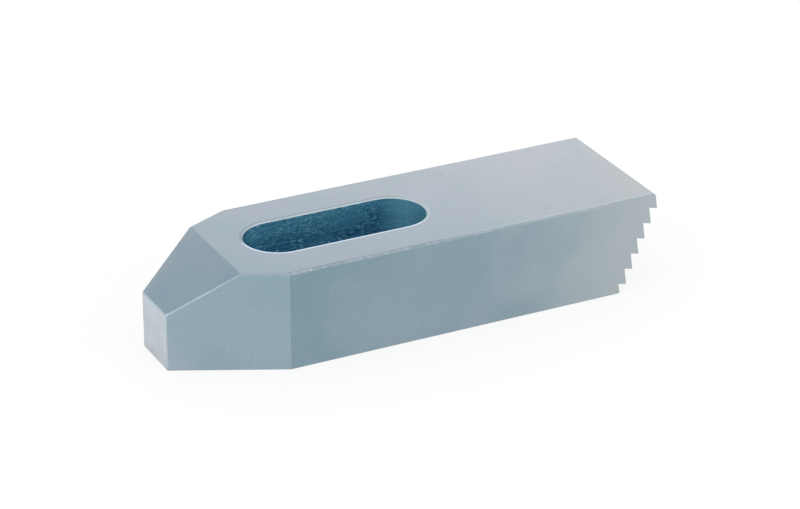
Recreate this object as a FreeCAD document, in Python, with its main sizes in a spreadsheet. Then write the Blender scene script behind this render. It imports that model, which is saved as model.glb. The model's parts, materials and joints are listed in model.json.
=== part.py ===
import FreeCAD, Part

import math
import os

import Sketcher

# Step clamp: one bar of steel that bridges from a workpiece to a stepped riser block.
# A stud comes up through the long slot, and its nut pulls the bar down. The low, narrow
# nose bears on the work. The saw-toothed end hooks over the steps of the riser block.
#
# Frame: the bar lies along Y with its nose at -Y and its teeth at +Y, X is across it, Z is
# up, and the flat underside is Z = 0. The origin is under the middle of the bar's length
# and width.

doc = FreeCAD.newDocument("step_clamp")

# ---------------------------------------------------------------------------------
# Driving dimensions, in millimetres and degrees. Each one is written once, here.
# ---------------------------------------------------------------------------------
SIZES = [
    ("overall_length", 160.0, "nose face to the tip of the top tooth, before it is rounded"),
    ("body_width", 50.0, "across the parallel flanks"),
    ("body_height", 32.0, "underside to top face"),
    ("nose_width", 18.0, "across the nose face"),
    ("nose_height", 18.5, "height of the nose face"),
    ("slope_length", 20.5, "run of the slope from the nose face to the top face"),
    ("taper_length", 33.5, "run of the side tapers from the nose face to the shoulders"),
    ("slot_width", 22.0, "passes a 20 mm stud with 1 mm on each side"),
    ("slot_length", 60.0, "end to end of the slot, which sets the stud's travel"),
    ("slot_start", 30.5, "nose face to the slot's nearer end"),
    ("slot_rim", 0.4, "chamfer round both mouths of the slot"),
    ("top_tooth", 5.0, "top face down to the tip of the top tooth"),
    ("tooth_pitch", 5.25, "tip to tip, down the line of the tips"),
    ("end_angle", 23.0, "line of the tips, from the vertical, inward going down"),
    ("tread_angle", 13.0, "rise of a tread from its tip in to its root, so that it hooks"),
    ("riser_angle", 8.0, "lean of a riser from the vertical, outward going down"),
    ("cutter_overrun", 1.0, "how far a notch's cut runs on past the line of the tips"),
    ("tip_radius", 0.2, "rounding of each tooth tip"),
    ("edge_chamfer", 0.6, "chamfer along the sides of the top face"),
    ("edge_break", 0.3, "light deburring of the other outer edges"),
]

sheet = doc.addObject("Spreadsheet::Sheet", "dims")
for row, (alias, value, note) in enumerate(SIZES, start=1):
    sheet.set(f"A{row}", alias)
    sheet.set(f"B{row}", str(value))
    sheet.set(f"C{row}", note)
    sheet.setAlias(f"B{row}", alias)
doc.recompute()

body = doc.addObject("PartDesign::Body", "clamp_body")
body.Label = "clamp_body"
ORIGIN = {feature.Role: feature for feature in body.Origin.OriginFeatures}


# ---------------------------------------------------------------------------------
# Helpers for sketches and edges
# ---------------------------------------------------------------------------------
START, END, CENTRE = 1, 2, 3  # a line's or an arc's points, as the sketcher numbers them
X_AXIS, Y_AXIS = -1, -2  # the sketch's own axes
ROOT = (X_AXIS, START)  # the sketch's own origin


def evaluate(expression):
    """The present value of an expression on the sheet's cells, such as dims.slot_width / 2."""
    return float(sheet.evalExpression(expression.replace("dims.", "")))


def new_sketch(name, role):
    """An empty sketch on one of the body's own origin planes."""
    sk = body.newObject("Sketcher::SketchObject", name)
    sk.AttachmentSupport = [(ORIGIN[role], "")]
    sk.MapMode = "FlatFace"
    return sk


def line(sk, first, second, construction=False):
    """A straight line between two (x, y) points; returns its number."""
    ends = [FreeCAD.Vector(*point, 0) for point in (first, second)]
    return sk.addGeometry(Part.LineSegment(*ends), construction)


def closed_outline(sk, points):
    """Straight lines through the points, joined end to end; returns their numbers."""
    lines = [line(sk, a, b) for a, b in zip(points, points[1:] + points[:1])]
    for a, b in zip(lines, lines[1:] + lines[:1]):
        sk.addConstraint(Sketcher.Constraint("Coincident", a, END, b, START))
    return lines


def arc(sk, centre, radius, first_angle, last_angle):
    """An arc of a circle, anticlockwise; returns its number."""
    circle = Part.Circle(FreeCAD.Vector(*centre, 0), FreeCAD.Vector(0, 0, 1), radius)
    return sk.addGeometry(Part.ArcOfCircle(circle, first_angle, last_angle), False)


def relate(sk, kind, *items):
    """A constraint with no size, such as Horizontal or Tangent."""
    sk.addConstraint(Sketcher.Constraint(kind, *items))


def dimension(sk, kind, items, name, expression):
    """A named size or angle between sketch items, driven by the sheet."""
    value = evaluate(expression)
    if kind == "Angle":
        value = math.radians(value)
    index = sk.addConstraint(Sketcher.Constraint(kind, *items, value))
    sk.renameConstraint(index, name)
    sk.setExpression(f"Constraints.{name}", expression)


def close(a, b, tolerance=1e-4):
    return abs(a - b) < tolerance


def middle(edge):
    """The point half way along an edge."""
    return edge.valueAt((edge.FirstParameter + edge.LastParameter) / 2)


def across(edge):
    """True for a straight edge that runs across the bar, along X."""
    box = edge.BoundBox
    return close(box.YMin, box.YMax) and close(box.ZMin, box.ZMax)


def level(edge, z):
    """True for an edge that lies wholly in the plane at height z."""
    box = edge.BoundBox
    return close(box.ZMin, z) and close(box.ZMax, z)


def edges_of(feature, test):
    """Names of the feature's edges for which test(edge) holds."""
    found = [f"Edge{i}" for i, edge in enumerate(feature.Shape.Edges, 1) if test(edge)]
    if not found:
        raise RuntimeError(f"{test.__name__} finds no edge on {feature.Name}")
    return found


def dress(kind, name, base, test, size, expression):
    """A fillet or chamfer on the base feature's edges that pass the test."""
    feature = body.newObject(f"PartDesign::{kind}", name)
    feature.Base = (base, edges_of(base, test))
    feature.setExpression(size, expression)
    doc.recompute()
    return feature


# ---------------------------------------------------------------------------------
# Places that more than one feature uses, worked out from the sheet
# ---------------------------------------------------------------------------------
height = evaluate("dims.body_height")
half_width = evaluate("dims.body_width / 2")
nose_y = evaluate("-dims.overall_length / 2")
tip_y = evaluate("dims.overall_length / 2")
tip_z = evaluate("dims.body_height - dims.top_tooth")
slope_y = nose_y + evaluate("dims.slope_length")
shoulder_y = nose_y + evaluate("dims.taper_length")
top_end_y = tip_y - evaluate("dims.top_tooth * tan(dims.riser_angle)")
under_end_y = tip_y - tip_z * evaluate("tan(dims.end_angle)")

# ---------------------------------------------------------------------------------
# 1. The bar: its side outline, across the full width. The end face is still plain, and
#    lies on the line that the tooth tips will share.
# ---------------------------------------------------------------------------------
side = new_sketch("SideOutline", "YZ_Plane")
under, end, riser, top, slope, nose = closed_outline(
    side,
    [
        (nose_y, 0),
        (under_end_y, 0),
        (tip_y, tip_z),
        (top_end_y, height),
        (slope_y, height),
        (nose_y, evaluate("dims.nose_height")),
    ],
)
relate(side, "PointOnObject", under, START, X_AXIS)
relate(side, "Horizontal", under)
relate(side, "Horizontal", top)
relate(side, "Vertical", nose)
for kind, items, name, expression in (
    ("DistanceX", (under, START, *ROOT), "nose_place", "dims.overall_length / 2"),
    ("DistanceX", (under, START, end, END), "length", "dims.overall_length"),
    ("DistanceY", (under, START, top, END), "height", "dims.body_height"),
    ("DistanceY", (nose, END, nose, START), "nose_height", "dims.nose_height"),
    ("DistanceX", (slope, END, slope, START), "slope_run", "dims.slope_length"),
    ("DistanceY", (riser, START, riser, END), "top_tooth", "dims.top_tooth"),
    ("Angle", (riser,), "riser_lean", "90 + dims.riser_angle"),
    ("Angle", (end,), "end_lean", "90 - dims.end_angle"),
):
    dimension(side, kind, items, name, expression)

bar = body.newObject("PartDesign::Pad", "Bar")
bar.Profile = side
bar.SideType = "Symmetric"
bar.setExpression("Length", "dims.body_width")
doc.recompute()

# ---------------------------------------------------------------------------------
# 2. The nose: the bar narrows to it by one flat cut on each side
# ---------------------------------------------------------------------------------
nose_half = evaluate("dims.nose_width / 2")

plan = new_sketch("NoseTaperOutline", "XY_Plane")
taper, flank, face = closed_outline(
    plan, [(nose_half, nose_y), (half_width, shoulder_y), (half_width, nose_y)]
)
relate(plan, "Vertical", flank)
relate(plan, "Horizontal", face)
for kind, items, name, expression in (
    ("DistanceX", (*ROOT, taper, START), "nose_half", "dims.nose_width / 2"),
    ("DistanceX", (*ROOT, taper, END), "half_width", "dims.body_width / 2"),
    ("DistanceY", (taper, START, taper, END), "taper_run", "dims.taper_length"),
    ("DistanceY", (taper, START, *ROOT), "nose_place", "dims.overall_length / 2"),
):
    dimension(plan, kind, items, name, expression)

nose_taper = body.newObject("PartDesign::Pocket", "NoseTaper")
nose_taper.Profile = plan
nose_taper.Type = "ThroughAll"
nose_taper.Reversed = True
doc.recompute()

both_tapers = body.newObject("PartDesign::Mirrored", "BothNoseTapers")
both_tapers.Originals = [nose_taper]
both_tapers.MirrorPlane = (ORIGIN["YZ_Plane"], [""])
body.Tip = both_tapers
doc.recompute()

# ---------------------------------------------------------------------------------
# 3. The stud slot: right through, with round ends
# ---------------------------------------------------------------------------------
slot_radius = evaluate("dims.slot_width / 2")
slot_near_y = nose_y + evaluate("dims.slot_start")
slot_far_y = slot_near_y + evaluate("dims.slot_length")
near_centre_y, far_centre_y = slot_near_y + slot_radius, slot_far_y - slot_radius

outline = new_sketch("SlotOutline", "XY_Plane")
near_end = arc(outline, (0, near_centre_y), slot_radius, math.pi, 2 * math.pi)
right_wall = line(outline, (slot_radius, near_centre_y), (slot_radius, far_centre_y))
far_end = arc(outline, (0, far_centre_y), slot_radius, 0, math.pi)
left_wall = line(outline, (-slot_radius, far_centre_y), (-slot_radius, near_centre_y))
ring = [near_end, right_wall, far_end, left_wall]
for a, b in zip(ring, ring[1:] + ring[:1]):
    relate(outline, "Tangent", a, END, b, START)
relate(outline, "PointOnObject", near_end, CENTRE, Y_AXIS)
relate(outline, "PointOnObject", far_end, CENTRE, Y_AXIS)
relate(outline, "Equal", near_end, far_end)
for kind, items, name, expression in (
    ("Radius", (near_end,), "end_radius", "dims.slot_width / 2"),
    ("DistanceY", (near_end, CENTRE, far_end, CENTRE), "stud_travel",
     "dims.slot_length - dims.slot_width"),
    ("DistanceY", (near_end, CENTRE, *ROOT), "slot_place",
     "dims.overall_length / 2 - dims.slot_start - dims.slot_width / 2"),
):
    dimension(outline, kind, items, name, expression)

slot = body.newObject("PartDesign::Pocket", "StudSlot")
slot.Profile = outline
slot.Type = "ThroughAll"
slot.Reversed = True
doc.recompute()

# ---------------------------------------------------------------------------------
# 4. The toothed end: one hooked notch, repeated down the line of the tips
# ---------------------------------------------------------------------------------
# A notch is a tread and a riser. The tread runs in from one tip and rises to the root, so
# that it hooks over a step of the riser block. The riser leans out from the root down to
# the next tip. The cut's mouth lies outside the line of the tips.
pitch = evaluate("dims.tooth_pitch")
end_lean = math.radians(evaluate("dims.end_angle"))
tread_rise = math.tan(math.radians(evaluate("dims.tread_angle")))
riser_lean = math.tan(math.radians(evaluate("dims.riser_angle")))
overrun = evaluate("dims.cutter_overrun")

next_y, next_z = tip_y - pitch * math.sin(end_lean), tip_z - pitch * math.cos(end_lean)
# where the tread through one tip meets the riser through the next
tread_run = (tip_y - next_y + riser_lean * (tip_z - next_z)) / (1 - riser_lean * tread_rise)
root_y, root_z = tip_y - tread_run, tip_z + tread_run * tread_rise

notch = new_sketch("NotchOutline", "YZ_Plane")
tread, mouth, back = closed_outline(
    notch,
    [
        (root_y, root_z),
        (tip_y + overrun, tip_z - overrun * tread_rise),
        (next_y + overrun * riser_lean, next_z - overrun),
    ],
)
tip_line = line(notch, (next_y, next_z), (tip_y, tip_z), construction=True)
relate(notch, "PointOnObject", tip_line, END, tread)
relate(notch, "PointOnObject", tip_line, START, back)
relate(notch, "Parallel", mouth, tip_line)
for kind, items, name, expression in (
    ("DistanceX", (*ROOT, tip_line, END), "tip_place", "dims.overall_length / 2"),
    ("DistanceY", (*ROOT, tip_line, END), "tip_height", "dims.body_height - dims.top_tooth"),
    ("Distance", (tip_line,), "pitch", "dims.tooth_pitch"),
    ("Angle", (tip_line,), "end_lean", "90 - dims.end_angle"),
    ("Angle", (tread,), "tread_rise", "-dims.tread_angle"),
    ("Angle", (back,), "riser_lean", "90 + dims.riser_angle"),
    ("Distance", (mouth, START, tip_line), "overrun", "dims.cutter_overrun"),
):
    dimension(notch, kind, items, name, expression)

first_notch = body.newObject("PartDesign::Pocket", "FirstNotch")
first_notch.Profile = notch
first_notch.Type = "ThroughAll"
first_notch.SideType = "Symmetric"
doc.recompute()

# As many notches as there is height for below the top tooth.
teeth = body.newObject("PartDesign::LinearPattern", "Teeth")
teeth.Originals = [first_notch]
teeth.Direction = (notch, ["Axis0"])
teeth.Reversed = True
teeth.Mode = "Spacing"
teeth.setExpression("Offset", "dims.tooth_pitch")
teeth.setExpression(
    "Occurrences",
    "floor((dims.body_height - dims.top_tooth) / (dims.tooth_pitch * cos(dims.end_angle))) + 1",
)
body.Tip = teeth
doc.recompute()

# ---------------------------------------------------------------------------------
# 5. Edges: tooth tips, slot mouths, the top face's sides, and light deburring
# ---------------------------------------------------------------------------------
TIPS = [
    (tip_y - i * (tip_y - next_y), tip_z - i * (tip_z - next_z))
    for i in range(teeth.Occurrences)
]


def at_tooth_tip(edge):
    """The sharp edge of a tooth."""
    at = middle(edge)
    return across(edge) and any(close(at.y, y) and close(at.z, z) for y, z in TIPS)


def on_slot(edge):
    """True for the edges round the slot's mouths, before and after their chamfer."""
    at = middle(edge)
    rim = 2 * evaluate("dims.slot_rim")
    return abs(at.x) < slot_radius + rim and slot_near_y - rim < at.y < slot_far_y + rim


def at_slot_mouth(edge):
    return on_slot(edge) and (level(edge, 0) or level(edge, height))


def at_top_side(edge):
    """Where the top face meets the flanks and the side tapers."""
    return level(edge, height) and not across(edge) and not on_slot(edge)


def at_outside(edge):
    """Underside outline, nose face, sides of the slope, and rear edge of the top face."""
    if level(edge, height):
        return across(edge) and close(middle(edge).y, top_end_y)
    on_nose = close(edge.BoundBox.YMin, nose_y)
    return on_nose or (level(edge, 0) and not on_slot(edge))


tips = dress("Fillet", "ToothTips", teeth, at_tooth_tip, "Radius", "dims.tip_radius")
mouths = dress("Chamfer", "SlotMouths", tips, at_slot_mouth, "Size", "dims.slot_rim")
sides = dress("Chamfer", "TopSides", mouths, at_top_side, "Size", "dims.edge_chamfer")
outside = dress("Chamfer", "OuterEdges", sides, at_outside, "Size", "dims.edge_break")
body.Tip = outside
doc.recompute()

# ---------------------------------------------------------------------------------
# 6. The model checks itself, then writes its file
# ---------------------------------------------------------------------------------
for obj in doc.Objects:
    if "Invalid" in obj.State or "Error" in obj.State:
        raise RuntimeError(f"{obj.Name} failed: {obj.State}")
for sk in (side, plan, outline, notch):
    if not sk.FullyConstrained:
        raise RuntimeError(f"{sk.Name} isn't fully constrained")

stages = [bar, nose_taper, both_tapers, slot, first_notch, teeth, tips, mouths, sides, outside]
for before, after in zip(stages, stages[1:]):
    removed = before.Shape.Volume - after.Shape.Volume
    print(f"{after.Name:15s} removes {removed:9.2f} mm3, {len(after.Shape.Faces)} faces")
    if removed <= 0:
        raise RuntimeError(f"{after.Name} removes nothing")

shape = body.Shape
if shape.isNull() or not shape.isValid() or len(shape.Solids) != 1:
    raise RuntimeError("clamp_body isn't one valid solid")
box = shape.BoundBox
print(f"box {box.XLength:.3f} x {box.YLength:.3f} x {box.ZLength:.3f} mm")
print(f"volume {shape.Volume / 1000:.2f} cm3, {teeth.Occurrences} notches")

os.makedirs("parts", exist_ok=True)
shape.exportStep("parts/clamp_body.step")
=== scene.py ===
# %% [markdown]
# # A step clamp in satin steel
#
# The object is one bar of hardened steel, milled and then ground: a flat top with a long
# slot for a clamping stud, a low nose at one end, and hooked teeth right across the other.
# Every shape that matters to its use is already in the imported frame, so this lesson keeps
# that shape and works on what makes it look like steel: edges that catch the light, a
# different tool finish on each kind of face, and soft studio light.

# %% Load the frame
import json
import math

import bpy
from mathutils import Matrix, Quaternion, Vector


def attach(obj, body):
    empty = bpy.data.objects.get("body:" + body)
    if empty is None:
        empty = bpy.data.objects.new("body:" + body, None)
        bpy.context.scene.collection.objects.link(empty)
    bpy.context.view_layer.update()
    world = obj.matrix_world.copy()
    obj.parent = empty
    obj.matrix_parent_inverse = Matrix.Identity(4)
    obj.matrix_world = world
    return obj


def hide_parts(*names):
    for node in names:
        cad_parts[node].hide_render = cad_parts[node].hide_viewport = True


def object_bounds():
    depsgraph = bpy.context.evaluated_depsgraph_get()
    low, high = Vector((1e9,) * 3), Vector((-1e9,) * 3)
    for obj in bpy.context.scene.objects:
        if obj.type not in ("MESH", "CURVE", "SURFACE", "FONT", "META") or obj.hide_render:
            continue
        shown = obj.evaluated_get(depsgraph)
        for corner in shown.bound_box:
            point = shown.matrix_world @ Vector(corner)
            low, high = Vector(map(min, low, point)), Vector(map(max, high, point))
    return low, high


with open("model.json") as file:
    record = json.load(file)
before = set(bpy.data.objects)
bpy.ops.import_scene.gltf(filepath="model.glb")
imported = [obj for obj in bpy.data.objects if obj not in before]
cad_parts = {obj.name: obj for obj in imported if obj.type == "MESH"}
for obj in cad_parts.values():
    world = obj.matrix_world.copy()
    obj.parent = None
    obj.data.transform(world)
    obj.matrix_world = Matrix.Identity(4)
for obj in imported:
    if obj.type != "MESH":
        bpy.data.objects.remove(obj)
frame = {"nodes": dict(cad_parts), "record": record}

cad_low, cad_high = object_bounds()
print("CAD box, mm:", [round(1000 * side, 2) for side in cad_high - cad_low])

# %% [markdown]
# ## Landmarks
#
# The finishes below are placed by face: slot wall, slope, nose and so on. To tell the faces
# apart we need a few heights and distances, and the record already states them as mounts:
# the stud slot with its centre, width and length, and the middle of the teeth with the way
# they face. Everything is in metres, with the nose at -Y, the teeth at +Y and Z up.

# %% Landmarks from the record
MM = 0.001
ACROSS, TO_TEETH, TO_NOSE, UP = (1, 0, 0), (0, 1, 0), (0, -1, 0), (0, 0, 1)

mounts = {mount["name"]: mount for mount in frame["record"]["mounts"]}
slot_middle = mounts["stud_slot"]["pos_m"][1]
slot_half_width = mounts["stud_slot"]["dims"]["hole_r_mm"] * MM
slot_half_length = mounts["stud_slot"]["dims"]["slot_length_mm"] * MM / 2
teeth_middle = Vector(mounts["step_teeth"]["pos_m"])
teeth_outward = Vector(mounts["step_teeth"]["axis"])

top_z, under_z = cad_high.z, cad_low.z
nose_y = cad_low.y
half_width = cad_high.x
print("slot, mm:", round(2 * slot_half_width / MM, 2), "x", round(2 * slot_half_length / MM, 2))

# %% [markdown]
# ## The bar as one clean mesh
#
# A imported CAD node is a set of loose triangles. That is right for a frame, but edges can't
# be bevelled on it. So we copy its mesh, merge the corners that share a place, and dissolve
# the lines between triangles that lie in one plane. What is left are the real faces of the
# bar. The copy then stands for the CAD node, which stays hidden in the frame.

# %% Copy the bar and join its faces
SAME_PLACE = 0.001 * MM
SAME_PLANE = math.radians(0.3)


def pick_only(piece):
    """Deselects everything else and makes this piece the active one."""
    bpy.ops.object.select_all(action="DESELECT")
    piece.select_set(True)
    bpy.context.view_layer.objects.active = piece


node = frame["nodes"]["clamp_body"]
bar = bpy.data.objects.new("steel_bar", node.data.copy())
bpy.context.collection.objects.link(bar)
pick_only(bar)
bar.data.materials.clear()
if bar.data.has_custom_normals:
    bpy.ops.mesh.customdata_custom_splitnormals_clear()
bpy.ops.object.mode_set(mode="EDIT")
bpy.ops.mesh.select_all(action="SELECT")
bpy.ops.mesh.remove_doubles(threshold=SAME_PLACE)
bpy.ops.mesh.dissolve_limited(angle_limit=SAME_PLANE)
bpy.ops.object.mode_set(mode="OBJECT")
print(len(node.data.polygons), "triangles in,", len(bar.data.polygons), "faces out")

# %% [markdown]
# ## Which face had which tool
#
# A milled slot wall, a ground top and a hand-dressed chamfer reflect light in different
# ways. Before any rounding is added, each face is still easy to recognise by the way it
# points and by where it is, so this is the moment to give it its finish. The order of the
# tests matters: the slot comes first, then the teeth, then the large flat faces, and
# whatever is left over is a small chamfer. The plane of the slope, its rear end and the
# place of the shoulders are measured on the way, because the chamfers beside the slope and
# the tapers look different.

# %% Name the finish of every face
FINISHES = ["ground_face", "milled_flank", "milled_taper", "nose_slope", "nose_end",
            "slot_wall", "slot_rim", "tooth_face", "dressed_chamfer", "rubbed_corner",
            "dark_edge_line"]
TOOTH_ZONE = 5 * MM        # the teeth lie within this of the line of their tips
CHAMFER_ZONE = 1.5 * MM    # nearer to the top than this are only the top and its chamfers
RIM_ZONE = 1.0 * MM        # the slot's rim ends within this of its wall
SQUARE_ON = 0.99           # a face with this much of its normal on one axis faces along it
NO_LEAN = 0.01             # a face with less than this on an axis doesn't lean that way
MOSTLY_UP = 0.7            # the slope has more than this, the chamfer at its foot less
MOSTLY_SIDEWAYS = 0.85     # a taper has more than this, the chamfers at its ends less


def in_slot(place):
    """True where a point is over the slot or its rim."""
    return (abs(place.x) < slot_half_width + RIM_ZONE
            and abs(place.y - slot_middle) < slot_half_length + RIM_ZONE)


def finish_of(place, facing):
    """The finish of a face, from its middle and the way it faces."""
    if in_slot(place) and abs(facing.z) < SQUARE_ON:
        return "slot_wall" if abs(facing.z) < NO_LEAN else "slot_rim"
    across_the_bar = abs(facing.x) < NO_LEAN
    if across_the_bar and (place - teeth_middle).dot(teeth_outward) > -TOOTH_ZONE:
        if under_z < place.z < top_z - CHAMFER_ZONE and abs(place.x) < 0.5 * half_width:
            return "tooth_face"
    if abs(facing.z) > SQUARE_ON:
        return "ground_face"
    if facing.y < -SQUARE_ON:
        return "nose_end"
    if across_the_bar and facing.z > MOSTLY_UP and place.z < top_z - CHAMFER_ZONE:
        return "nose_slope"
    if abs(facing.x) > SQUARE_ON:
        return "milled_flank"
    if abs(facing.z) < NO_LEAN and abs(facing.x) > MOSTLY_SIDEWAYS:
        return "milled_taper"
    return "dressed_chamfer"


# %% Give the finishes out and measure the nose
def faces_of(name):
    """All faces that have this finish."""
    return [face for face in bar.data.polygons if face.material_index == FINISHES.index(name)]


def rear_of(face):
    """How far toward the teeth a face reaches."""
    return max(bar.data.vertices[index].co.y for index in face.vertices)


for name in FINISHES:
    bar.data.materials.append(bpy.data.materials.new(name))
for face in bar.data.polygons:
    face.material_index = FINISHES.index(finish_of(face.center, face.normal))
for name in FINISHES:
    area = sum(face.area for face in faces_of(name)) / MM**2
    print(f"{name:16s}{len(faces_of(name)):4d} faces, {area:9.1f} mm2")

slope_face = faces_of("nose_slope")[0]
slope_facing = slope_face.normal.copy()
slope_plane = slope_face.center.dot(slope_facing)
slope_rear = rear_of(slope_face)
shoulder_y = rear_of(faces_of("milled_taper")[0])
print("rear of the slope and shoulders at y, mm:",
      round(slope_rear / MM, 2), round(shoulder_y / MM, 2))

# %% [markdown]
# ## Edges that catch the light
#
# No edge on a handled tool is a perfect line. Even beside the 0.3 to 0.6 mm chamfers of the
# real bar, each remaining corner is rubbed round by about a tenth of a millimetre. That is
# tiny, but it is what draws the thin bright lines that tell the eye "metal". A Bevel
# modifier does it on every edge sharper than 25 degrees, the new strips get a finish of
# their own, and the modifier is applied so that the shape is real geometry. Weighted
# normals then keep the large faces perfectly flat beside the rounded strips.

# %% Round every corner a little
RUB_WIDTH = 0.1 * MM
CORNER_ANGLE, SMOOTH_ANGLE = math.radians(25), math.radians(40)

pick_only(bar)
rub = bar.modifiers.new("rubbed_corners", "BEVEL")
rub.width = RUB_WIDTH
rub.segments = 2
rub.limit_method = "ANGLE"
rub.angle_limit = CORNER_ANGLE
rub.material = FINISHES.index("rubbed_corner")
bpy.ops.object.modifier_apply(modifier=rub.name)
bpy.ops.object.shade_smooth_by_angle(angle=SMOOTH_ANGLE)
even = bar.modifiers.new("flat_faces_stay_flat", "WEIGHTED_NORMAL")
even.keep_sharp = True
bpy.ops.object.modifier_apply(modifier=even.name)
print("after rounding:", len(bar.data.polygons), "faces")

# %% [markdown]
# ## The dark edge line
#
# A fine dark line runs between the bright top and the chamfer; beside the slot it is
# painted shade. Here it is the uppermost of the new strips on each long edge and on the -X
# side of the slot, which are easy to pick by their height and by the way they tip sideways.

# %% Pick the dark edge line
for face in faces_of("rubbed_corner"):
    place = face.center
    beside_a_ground_face = min(top_z - place.z, place.z - under_z) < RUB_WIDTH / 2
    tips_sideways = abs(face.normal.x) > 0.1
    gets_the_dark_line = not in_slot(place) or place.x < -0.7 * slot_half_width
    if beside_a_ground_face and tips_sideways and gets_the_dark_line:
        face.material_index = FINISHES.index("dark_edge_line")
print("burr line:", len(faces_of("dark_edge_line")), "faces")

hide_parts("clamp_body")
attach(bar, "root")

# %% [markdown]
# ## Shader maths as plain Python
#
# Node trees are easier to read as formulas. `Field` wraps one output socket, and its
# operators add the Math nodes, so `0.4 + 0.1 * grain` builds two nodes and links them.
# `Recipe` holds one node tree and has a single method, `add`, for every other node.

# %% A number that varies over a surface
class Field:
    """One output socket, with Python's operators."""

    def __init__(self, recipe, socket):
        self.recipe, self.socket = recipe, socket

    def maths(self, operation, first, second, clamp=False):
        settings = {"operation": operation, "use_clamp": clamp}
        return self.recipe.add("ShaderNodeMath", settings, {0: first, 1: second})

    def __add__(self, other):
        return self.maths("ADD", self, other)

    def __radd__(self, other):
        return self.maths("ADD", other, self)

    def __sub__(self, other):
        return self.maths("SUBTRACT", self, other)

    def __rsub__(self, other):
        return self.maths("SUBTRACT", other, self)

    def __mul__(self, other):
        return self.maths("MULTIPLY", self, other)

    def __rmul__(self, other):
        return self.maths("MULTIPLY", other, self)

    def __abs__(self):
        return self.maths("ABSOLUTE", self, 0.0)

    def at_least(self, floor):
        """The same number, but never below the floor."""
        return self.maths("MAXIMUM", self, floor)

    def clipped(self):
        """The same number, kept between 0 and 1."""
        return self.maths("ADD", self, 0.0, clamp=True)


# %% A node tree
class Recipe:
    """A node tree of a material or of the world."""

    def __init__(self, tree):
        self.nodes, self.links = tree.nodes, tree.links

    def feed(self, socket, value):
        """Links a field to a socket, or sets the socket's own value."""
        if isinstance(value, Field):
            self.links.new(value.socket, socket)
        else:
            socket.default_value = value

    def add(self, kind, settings=None, sockets=None, out=0):
        """Adds a node, its settings first, then its sockets, and gives back one output."""
        node = self.nodes.new(kind)
        for name, value in (settings or {}).items():
            setattr(node, name, value)
        for name, value in (sockets or {}).items():
            self.feed(node.inputs[name], value)
        return Field(self, node.outputs[out])

    def seen(self):
        """1 for rays that look at this surface straight, in a mirror or through glass."""
        rays = [self.add("ShaderNodeLightPath", out=kind)
                for kind in ("Is Camera Ray", "Is Glossy Ray", "Is Transmission Ray")]
        return (rays[0] + rays[1] + rays[2]).clipped()


# %% [markdown]
# ## What every steel finish needs
#
# A machined surface is described by a handful of patterns: noise that is stretched along
# the tool's path, clouds from heat and oil, specks, and scratches. `Finish` collects them
# as methods. All of them read Object coordinates, so that one pattern runs over all faces
# of the bar in real metres and needs no unwrapping.

# %% Patterns for machined steel
class Finish(Recipe):
    """One material, by its name, and the patterns it is made from."""

    def __init__(self, name):
        material = bpy.data.materials[name]
        material.use_nodes = True
        super().__init__(material.node_tree)
        self.shader = self.nodes["Principled BSDF"]
        self.place = self.add("ShaderNodeTexCoord", out="Object")

    def noise(self, per_metre, turn=0.0, detail=2.0, roughness=0.5):
        """Noise with so many spots per metre along X, Y and Z, turned about Z."""
        turned = self.add("ShaderNodeMapping", {"vector_type": "TEXTURE"}, {
            "Vector": self.place, "Rotation": (0, 0, math.radians(turn)),
            "Scale": [1 / count for count in per_metre]})
        return self.add("ShaderNodeTexNoise", {}, {
            "Vector": turned, "Scale": 1.0, "Detail": detail, "Roughness": roughness})

    def ramp(self, value, low, high):
        """0 below low, 1 above high, smooth between."""
        return self.add("ShaderNodeMapRange", {"interpolation_type": "SMOOTHSTEP"}, {
            "Value": value, "From Min": low, "From Max": high})

    def along(self, direction):
        """How far each point lies along a direction, in metres."""
        return self.add("ShaderNodeVectorMath", {"operation": "DOT_PRODUCT"}, {
            0: self.place, 1: direction}, out="Value")

    def past_straight(self):
        """How far each point lies beyond the straight sides of the slot, in metres."""
        straight = slot_half_length - slot_half_width
        return (abs(self.along(TO_TEETH) - slot_middle) - straight).at_least(0)

    def from_slot(self):
        """How far each point is from the outline of the slot, in metres."""
        arm = self.add("ShaderNodeCombineXYZ", {}, {
            "X": self.along(ACROSS), "Y": self.past_straight()})
        reach = self.add("ShaderNodeVectorMath", {"operation": "LENGTH"}, {0: arm}, out="Value")
        return reach - slot_half_width

    def clouds(self, per_metre):
        """Soft patches, half of the surface 0 and half 1."""
        return self.ramp(self.noise((per_metre,) * 3, detail=3.0), 0.36, 0.64)

    def specks(self, per_metre, above):
        """Small separate dots; a higher threshold leaves fewer."""
        return self.ramp(self.noise((per_metre,) * 3, detail=1.0), above, above + 0.05)

    def scratches(self, turn, above):
        """Short fine lines, turned from the bar's length, in some patches only."""
        lines = self.noise((1500, 240, 1500), turn=turn, detail=1.0)
        return self.ramp(lines, above, above + 0.06) * self.clouds(75)

    def blend(self, amount, first, second):
        """One colour turning into another as amount goes from 0 to 1."""
        return self.add("ShaderNodeMix", {"data_type": "RGBA"},
                        {0: amount, 6: first, 7: second}, out=2)

    def metal(self, colour, roughness, height, depth):
        """Bare steel with this colour, roughness, and a relief of this depth in metres."""
        self.feed(self.shader.inputs["Metallic"], 1.0)
        self.feed(self.shader.inputs["Base Color"], colour)
        self.feed(self.shader.inputs["Roughness"], roughness)
        relief = self.add("ShaderNodeBump", {}, {
            "Height": height, "Distance": depth, "Strength": 1.0})
        self.feed(self.shader.inputs["Normal"], relief)


def shade(red, green, blue):
    """A colour from its share of red, green and blue light."""
    return (red, green, blue, 1.0)
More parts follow.
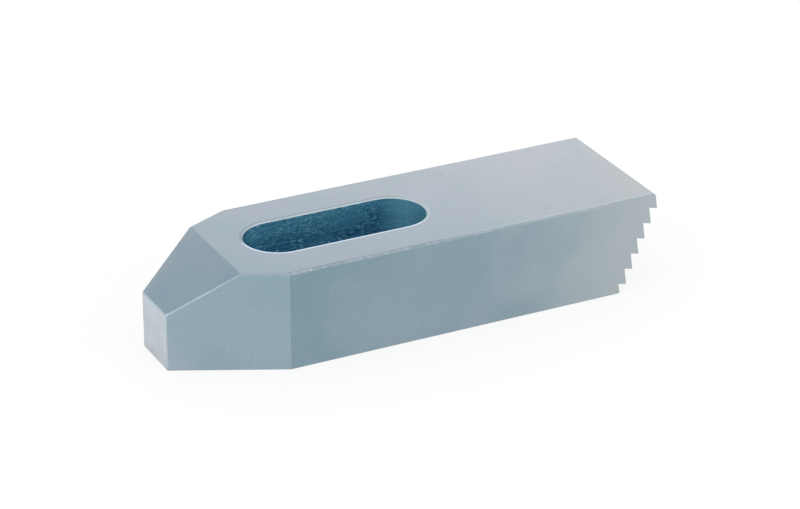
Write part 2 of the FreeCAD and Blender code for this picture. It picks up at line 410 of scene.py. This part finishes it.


# %% [markdown]
# ## Ground faces
#
# The top and the underside come from a surface grinder, which leaves very fine lines along
# the bar and an even satin sheen. Over that lie soft patches of heat tint and oil. The colour
# runs diagonally, cool and dark toward the nose and lighter and warmer at the teeth: partly
# heat tint, partly painted light on that end. Handling has left a few short hairlines.
# Round the mouth of the slot runs a lip, about half a millimetre wide, with a painted
# highlight on the +X side and painted shade on the other, fading toward the teeth. The thin
# line along each long edge turns from dark to a painted highlight.

# %% Ground steel, top and underside
top = Finish("ground_face")
grain = top.noise((4200, 70, 4200), detail=3.0)
patches = top.clouds(34)
tint = top.clouds(62)
toward_teeth = top.ramp(top.along((-1, 1, 0)), -110 * MM, 130 * MM)
marks = (top.scratches(-27, above=0.68) + top.scratches(-20, above=0.71)).clipped()
dots = top.specks(900, 0.76)
# Cool toward the nose, lighter toward the teeth: heat tint and painted light.
tint_and_painted_light = (toward_teeth + 0.2 * patches - 0.1).clipped()
steel = top.blend(tint_and_painted_light, shade(0.330, 0.415, 0.487), shade(0.560, 0.587, 0.622))
steel = top.blend(0.22 * tint, steel, shade(0.46, 0.48, 0.58))
steel = top.blend(0.20 * (1 - tint), steel, shade(0.38, 0.50, 0.52))
steel = top.blend(0.16 * grain, steel, shade(0.52, 0.56, 0.60))
# Painted light: the end toward the teeth is lighter and warmer.
warm_lit_end = top.ramp(top.along((0.3, 1, 0)), 66 * MM, 88 * MM)
steel = top.blend(0.7 * warm_lit_end, steel, shade(0.530, 0.560, 0.555))
steel = top.blend((0.65 * marks + 0.45 * dots).clipped(), steel, shade(0.22, 0.28, 0.33))

# %% Lines along its edges and the lip round the slot
across = top.along(ACROSS)
# A thin line along each long edge: dark toward the nose, a painted highlight toward the teeth.
edge_line = top.ramp(abs(across), half_width - 1.05 * MM, half_width - 0.80 * MM)
edge_dark_to_highlight = top.blend(top.ramp(top.along(TO_TEETH), -5 * MM, 25 * MM),
                        shade(0.20, 0.26, 0.29), shade(0.68, 0.74, 0.77))
steel = top.blend(edge_line * (0.5 + 0.4 * patches), steel, edge_dark_to_highlight)
# Painted highlight on the +X side of the lip, painted shade on the -X side.
highlit_side = top.ramp(across, -4 * MM, 3 * MM)
lip = 1 - top.ramp(top.from_slot() + 0.2 * MM * grain, 0.95 * MM, 1.25 * MM)
lip_highlight_and_shade = top.blend(highlit_side, shade(0.24, 0.31, 0.34), shade(0.76, 0.87, 1.0))
teeth_end = top.ramp(top.along(TO_TEETH) - slot_middle, 22 * MM, 29 * MM)
lip_strength = (0.75 + 0.2 * highlit_side) * (1 - 0.8 * teeth_end)
steel = top.blend(lip * lip_strength, steel, lip_highlight_and_shade)
top.metal(steel, 0.35 + 0.08 * grain + 0.05 * patches, grain - 0.4 * marks, 0.004 * MM)
print("ground_face:", len(top.nodes), "nodes")

# %% [markdown]
# ## Milled flanks and tapers
#
# The sides are as the cutter left them. They are darker and bluer than the ground faces,
# partly heat tint and partly painted shade. The colour is darkest beside the nose and turns
# lighter toward the teeth and higher up, as painted light. The two tapers beside the nose
# were milled in another set-up: they are a shade lighter, more frosted, and palest low down
# at the very nose.

# %% Milled steel
def milled(name, deep, light, lit_at_the_teeth, frosting):
    """A milled side with soft mottling, specks, and heat tint with painted shade that lightens
    along it into painted light.
    """
    side = Finish(name)
    mottle = side.noise((520, 520, 520), detail=4.0, roughness=0.68)
    strokes = side.noise((700, 700, 150), detail=2.0)
    patches = side.clouds(48)
    along_bar = side.along(TO_TEETH) + 12 * MM * patches
    # Painted shade beside the nose, mixed with patches of heat tint.
    deep_or_light = 0.3 * patches + 0.7 * side.ramp(along_bar, -40 * MM, 0)
    steel = side.blend(deep_or_light, deep, light)
    # Painted light: lighter toward the teeth and higher up.
    painted_light_to_teeth = side.ramp(along_bar + 0.15 * side.along(UP), 14 * MM, 96 * MM)
    steel = side.blend(painted_light_to_teeth, steel, lit_at_the_teeth)
    steel = side.blend(0.28 * mottle, steel, shade(0.38, 0.45, 0.49))
    frost = side.noise((1500, 1500, 1500), detail=3.0, roughness=0.7)
    frost = side.ramp(frost, 0.42, 0.60) * (0.4 + 0.6 * patches)
    steel = side.blend(frosting * frost, steel, shade(0.45, 0.54, 0.59))
    steel = side.blend(0.30 * side.specks(1300, 0.72), steel, shade(0.50, 0.56, 0.60))
    steel = side.blend(0.35 * side.specks(1000, 0.75), steel, shade(0.10, 0.16, 0.20))
    steel = side.blend(0.12 * strokes, steel, deep)
    low_at_the_nose = side.ramp(side.along((0, -0.8, -0.6)), 54 * MM, 62 * MM)
    steel = side.blend(0.9 * low_at_the_nose, steel, shade(0.360, 0.435, 0.500))
    side.metal(steel, 0.38 + 0.12 * mottle, mottle + 0.5 * strokes, 0.008 * MM)
    print(name + ":", len(side.nodes), "nodes")


milled("milled_flank", shade(0.188, 0.302, 0.356), shade(0.256, 0.342, 0.403),
       shade(0.435, 0.474, 0.490), 0.08)
milled("milled_taper", shade(0.268, 0.386, 0.446), shade(0.314, 0.408, 0.474),
       shade(0.314, 0.408, 0.474), 0.20)

# %% [markdown]
# ## Nose
#
# The slope was cut with the bar tilted, so its faint tool lines run up it, under a haze that
# grows toward the -X side. Its tone is darker than the top, as painted shade. The small end
# of the nose was dressed on a belt, across the bar.
# It is the brightest face of all, partly from the belt and partly as painted light, with
# painted shade close to the table.

# %% Slope
slope = Finish("nose_slope")
lines = slope.noise((1500, 110, 110), detail=3.0)
haze = 0.3 * slope.clouds(55) + 0.7 * slope.ramp(slope.along((-1, 0, 0)), 0, 22 * MM)
# Both tones are darker than the top: painted shade.
steel = slope.blend(haze, shade(0.240, 0.335, 0.412), shade(0.345, 0.400, 0.438))
steel = slope.blend(0.18 * lines, steel, shade(0.38, 0.45, 0.51))
steel = slope.blend(0.35 * slope.specks(1200, 0.73), steel, shade(0.50, 0.57, 0.62))
slope.metal(steel, 0.36 + 0.10 * lines, lines, 0.005 * MM)
print("nose_slope:", len(slope.nodes), "nodes")

# %% Nose end
end = Finish("nose_end")
belt_lines = end.noise((110, 110, 2000), detail=3.0)
# Bright base colours: the belt finish with painted light.
steel = end.blend(belt_lines, shade(0.530, 0.590, 0.650), shade(0.600, 0.655, 0.695))
# Painted shade: darker close to the table.
shade_near_table = 1 - end.ramp(end.along(UP) - under_z, 0, 8 * MM)
steel = end.blend(0.3 * end.clouds(150) + 0.5 * shade_near_table, steel, shade(0.42, 0.46, 0.50))
end.metal(steel, 0.36 + 0.10 * belt_lines, belt_lines, 0.004 * MM)
print("nose_end:", len(end.nodes), "nodes")

# %% [markdown]
# ## Teeth
#
# The teeth take the load, so they are what this tool is bought for. A profile cutter formed
# them in one pass straight across the bar, and its lines run that way. The tips are rubbed
# bright by the riser block they hook into, and the roots are darker. Above the top tooth
# there is no root, so it is not darkened.

# %% Teeth, from bright tips to dull roots
teeth = Finish("tooth_face")
tips_line = teeth_middle.dot(teeth_outward)
depth = tips_line - teeth.along(teeth_outward)
cutter_lines = teeth.ramp(teeth.noise((45, 1500, 1500), detail=3.0, roughness=0.7), 0.3, 0.7)
uneven = teeth.noise((160, 900, 900), detail=2.0)
in_the_root = teeth.ramp(depth + 1.2 * MM * uneven, 1.5 * MM, 3.2 * MM)
top_tooth = teeth.ramp(teeth.along(UP), top_z - 6 * MM, top_z - 4 * MM)
in_the_root = in_the_root * (1 - top_tooth)
at_the_tip = teeth.ramp(-1.0 * depth, -0.5 * MM, 0.1 * MM)
steel = teeth.blend(cutter_lines, shade(0.33, 0.39, 0.44), shade(0.44, 0.50, 0.54))
steel = teeth.blend(0.5 * in_the_root, steel, shade(0.13, 0.16, 0.17))
steel = teeth.blend(0.8 * at_the_tip, steel, shade(0.68, 0.72, 0.75))
teeth.metal(steel, 0.32 + 0.10 * cutter_lines + 0.12 * in_the_root, cutter_lines, 0.010 * MM)
print("tooth_face:", len(teeth.nodes), "nodes")

# %% [markdown]
# ## Chamfers and corners
#
# The chamfers were dressed by hand with a file, which chatters, so they are uneven: dull
# where the file skipped and bright where it bit. Toward the teeth they are lighter and more
# even, as painted light.
# Beside the tapers the chamfer has their tint, beside the slope only a hair line of it
# shines, and along the underside it is dark, partly grime and partly painted contact shade.
# The tiny rounded corners next to the chamfers are smooth from handling. The rim of the slot
# was stoned, and it is darker at the nose end.

# %% Chamfers
chamfer = Finish("dressed_chamfer")
chatter = chamfer.ramp(chamfer.noise((420, 420, 420), detail=3.0, roughness=0.65), 0.42, 0.66)
bites = chamfer.ramp(chamfer.noise((900, 900, 900), detail=2.0), 0.46, 0.66)
toward_teeth = chamfer.ramp(chamfer.along(TO_TEETH), -10 * MM, 70 * MM)
bites = bites * chamfer.clouds(55) * (1 - 0.6 * toward_teeth)
above_table = chamfer.along(UP) - under_z
# A dark line just above the table: grime and painted contact shade.
grime_and_contact_shade = 1 - chamfer.ramp(above_table, 0.5 * MM, 1.0 * MM)
steel = chamfer.blend(chatter, shade(0.290, 0.372, 0.420), shade(0.40, 0.475, 0.525))
# Lighter and more even toward the teeth: painted light.
steel = chamfer.blend(0.9 * toward_teeth, steel, shade(0.40, 0.46, 0.49))
toward_nose = chamfer.along(TO_NOSE)
beside_taper = chamfer.ramp(toward_nose + shoulder_y, -1 * MM, 1 * MM)
steel = chamfer.blend(0.7 * bites * (1 - 0.8 * beside_taper), steel, shade(0.52, 0.61, 0.67))
steel = chamfer.blend(0.9 * beside_taper, steel, shade(0.325, 0.420, 0.485))
below_slope = slope_plane - chamfer.along(slope_facing)
beside_slope = chamfer.ramp(toward_nose + slope_rear, -2.5 * MM, 1.5 * MM)
hair_line = beside_slope * (1 - chamfer.ramp(below_slope, 0.10 * MM, 0.18 * MM))
steel = chamfer.blend(0.6 * hair_line, steel, shade(0.44, 0.51, 0.56))
on_the_end = chamfer.ramp(toward_nose + nose_y, -1 * MM, -0.5 * MM)
steel = chamfer.blend(0.85 * on_the_end, steel, shade(0.50, 0.56, 0.60))
steel = chamfer.blend(0.6 * grime_and_contact_shade, steel, shade(0.12, 0.15, 0.17))
chamfer.metal(steel, 0.32 + 0.14 * chatter, chatter, 0.015 * MM)
print("dressed_chamfer:", len(chamfer.nodes), "nodes")

# %% Corners, dark edge line and the rim of the slot
corner = Finish("rubbed_corner")
wear = corner.clouds(260)
steel = corner.blend(wear, shade(0.38, 0.44, 0.48), shade(0.50, 0.56, 0.60))
corner.metal(steel, 0.30 + 0.10 * wear, wear, 0.004 * MM)

# A fine dark line; on the -X side of the slot it is painted shade.
dark_edge = Finish("dark_edge_line")
breaks = dark_edge.clouds(180)
steel = dark_edge.blend(breaks, shade(0.10, 0.14, 0.17), shade(0.26, 0.31, 0.34))
dark_edge.metal(steel, 0.40 + 0.15 * breaks, breaks, 0.004 * MM)

rim = Finish("slot_rim")
stoned = rim.clouds(300)
steel = rim.blend(stoned, shade(0.46, 0.56, 0.60), shade(0.54, 0.63, 0.68))
nose_arc = rim.ramp(slot_middle - rim.along(TO_TEETH), 18 * MM, 28 * MM)
steel = rim.blend(0.6 * nose_arc, steel, shade(0.34, 0.43, 0.50))
rim.metal(steel, 0.34 + 0.10 * stoned, stoned, 0.008 * MM)
print("nodes:", [len(each.nodes) for each in (corner, dark_edge, rim)])

# %% [markdown]
# ## The slot wall
#
# The wall of the slot still has its marks of the end mill: fine lines that run level round
# the slot, and torn specks in patches, some that glint and some that stay dark. Over them
# lies a dark blue-green: the steel's blue tint, deepened by painted shade of the narrow
# slot. It is darker the deeper it lies, as painted shade, and greener at the nose end, and
# at the teeth end it is lighter, with pale streaks.

# %% Slot wall
wall = Finish("slot_wall")
along_bar = wall.along(TO_TEETH) - slot_middle
teeth_end = wall.ramp(along_bar, 20 * MM, 28 * MM)
nose_end = wall.ramp(-1 * along_bar, 20 * MM, 28 * MM)
below_top = top_z - wall.along(UP)
# Painted shade: the wall darkens with depth below the top.
depth = wall.ramp(below_top - 0.1 * along_bar, 3 * MM, 13 * MM)
passes = wall.noise((70, 70, 1300), detail=2.0, roughness=0.6)
torn = wall.noise((750, 750, 2100), detail=3.0, roughness=0.85)
torn_here = (1 - 0.8 * teeth_end - 0.6 * nose_end) * (0.35 + 0.65 * wall.clouds(170))
glints = torn_here * wall.ramp(torn, 0.54, 0.63)
pits = torn_here * wall.ramp(1 - torn, 0.52, 0.62)
# The dark teal base colours are the steel's blue tint with painted shade of the slot.
steel = wall.blend(0.6 * teeth_end, shade(0.100, 0.345, 0.500), shade(0.190, 0.390, 0.455))
steel = wall.blend(0.7 * nose_end, steel, shade(0.040, 0.200, 0.265))
steel = wall.blend(0.95 * depth, steel, shade(0.008, 0.135, 0.275))
streaks = (0.45 + 0.2 * teeth_end) * wall.ramp(passes, 0.40, 0.60)
steel = wall.blend(streaks, steel, shade(0.170, 0.470, 0.610))
steel = wall.blend(0.8 * pits, steel, shade(0.010, 0.085, 0.160))
steel = wall.blend(0.9 * glints, steel, shade(0.42, 0.76, 0.86))
roughness = 0.46 + 0.16 * passes + 0.12 * teeth_end
wall.metal(steel, roughness, passes + 0.6 * torn, 0.014 * MM)
print("slot_wall:", len(wall.nodes), "nodes")

# %% [markdown]
# ## Camera
#
# The camera is placed by azimuth and elevation, as seen from the middle of the bar, and
# well away with a long lens, so that the parallel edges of the bar stay nearly parallel.

# %% Camera
AZIMUTH, ELEVATION, ROLL = math.radians(62.99), math.radians(25.73), math.radians(0.113)
CAMERA_DISTANCE = 0.967
AIM_SHIFT = Vector((0.35, 2.51, 1.10)) * MM
LENS_MM, SENSOR_MM = 140.42, 36.0

look_at = (cad_low + cad_high) / 2 + AIM_SHIFT
back = Vector((math.sin(AZIMUTH) * math.cos(ELEVATION),
               -math.cos(AZIMUTH) * math.cos(ELEVATION),
               math.sin(ELEVATION)))
bpy.ops.object.camera_add(location=look_at + CAMERA_DISTANCE * back)
camera = bpy.context.object
camera.rotation_mode = "QUATERNION"
camera.rotation_quaternion = back.to_track_quat("Z", "Y") @ Quaternion((0, 0, 1), ROLL)
camera.data.sensor_width = SENSOR_MM
camera.data.lens = LENS_MM
camera.data.clip_start, camera.data.clip_end = 0.05, 50
bpy.context.scene.camera = camera
print("camera at, m:", [round(part, 4) for part in camera.location])

# %% [markdown]
# ## White table and white room
#
# The bar lies on a white table in a white room. Whatever looks at the table or the room, be
# it the camera or a reflection in the steel, sees plain white, but the table is still partly
# a matt surface, so it takes the bar's soft shadow. The glow of the table makes up exactly
# what the matt part lacks, so that no line shows where the table ends and the room begins.

# %% White table
ROOM_LIGHT = 0.95
TABLE_GLOW = 0.8
TABLE_GREY = 0.98
TABLE_SIZE = 6

bpy.ops.mesh.primitive_plane_add(size=TABLE_SIZE, location=(0, 0, under_z))
table = bpy.context.object
table.name = "white_table"
table.data.materials.append(bpy.data.materials.new("white_table_top"))
table_top = Finish("white_table_top")
matt = table_top.add("ShaderNodeBsdfDiffuse", {}, {
    "Color": shade(TABLE_GREY, TABLE_GREY, TABLE_GREY)})
up_to_white = (1 - (1 - TABLE_GLOW) * TABLE_GREY * ROOM_LIGHT) / TABLE_GLOW
glow = table_top.add("ShaderNodeEmission", {}, {
    "Color": shade(1, 1, 1), "Strength": up_to_white})
surface = table_top.add("ShaderNodeMixShader", {},
                        {0: TABLE_GLOW * table_top.seen(), 1: matt, 2: glow})
table_top.feed(table_top.nodes["Material Output"].inputs["Surface"], surface)

# %% White room
world = bpy.data.worlds.new("white_room")
bpy.context.scene.world = world
world.use_nodes = True
room = Recipe(world.node_tree)
background = room.nodes["Background"]
room.feed(background.inputs["Color"], shade(1, 1, 1))
room.feed(background.inputs["Strength"], ROOM_LIGHT + (1 - ROOM_LIGHT) * room.seen())
print("the room lights at", ROOM_LIGHT, "and is seen at 1")

# %% [markdown]
# ## Lamps
#
# The room alone would give a flat picture, so two softboxes shape it: one at the nose side,
# which draws the bright line on the edge of the slope, and a low one near the teeth, which
# lifts that end of the flank. The soft shadow comes from the room itself.


# %% Softboxes
def softbox(name, place, aim, width, height, brightness):
    """A rectangular lamp; a brightness of 1 looks like a white wall."""
    bpy.ops.object.light_add(type="AREA", location=place)
    lamp = bpy.context.object
    lamp.name = name
    lamp.data.shape = "RECTANGLE"
    lamp.data.size, lamp.data.size_y = width, height
    lamp.data.energy = brightness * math.pi * width * height
    lamp.rotation_euler = (Vector(place) - Vector(aim)).to_track_quat("Z", "Y").to_euler()
    print(f"{name}: {lamp.data.energy:.2f} W")


softbox("nose_side", (0.30, -0.90, 0.40), (0, 0, 0), 0.5, 0.5, 0.7)
softbox("teeth_side", (0.30, 0.32, 0.10), (0.02, 0.07, 0.01), 0.25, 0.15, 2.0)

bpy.context.scene.view_settings.view_transform = "Standard"
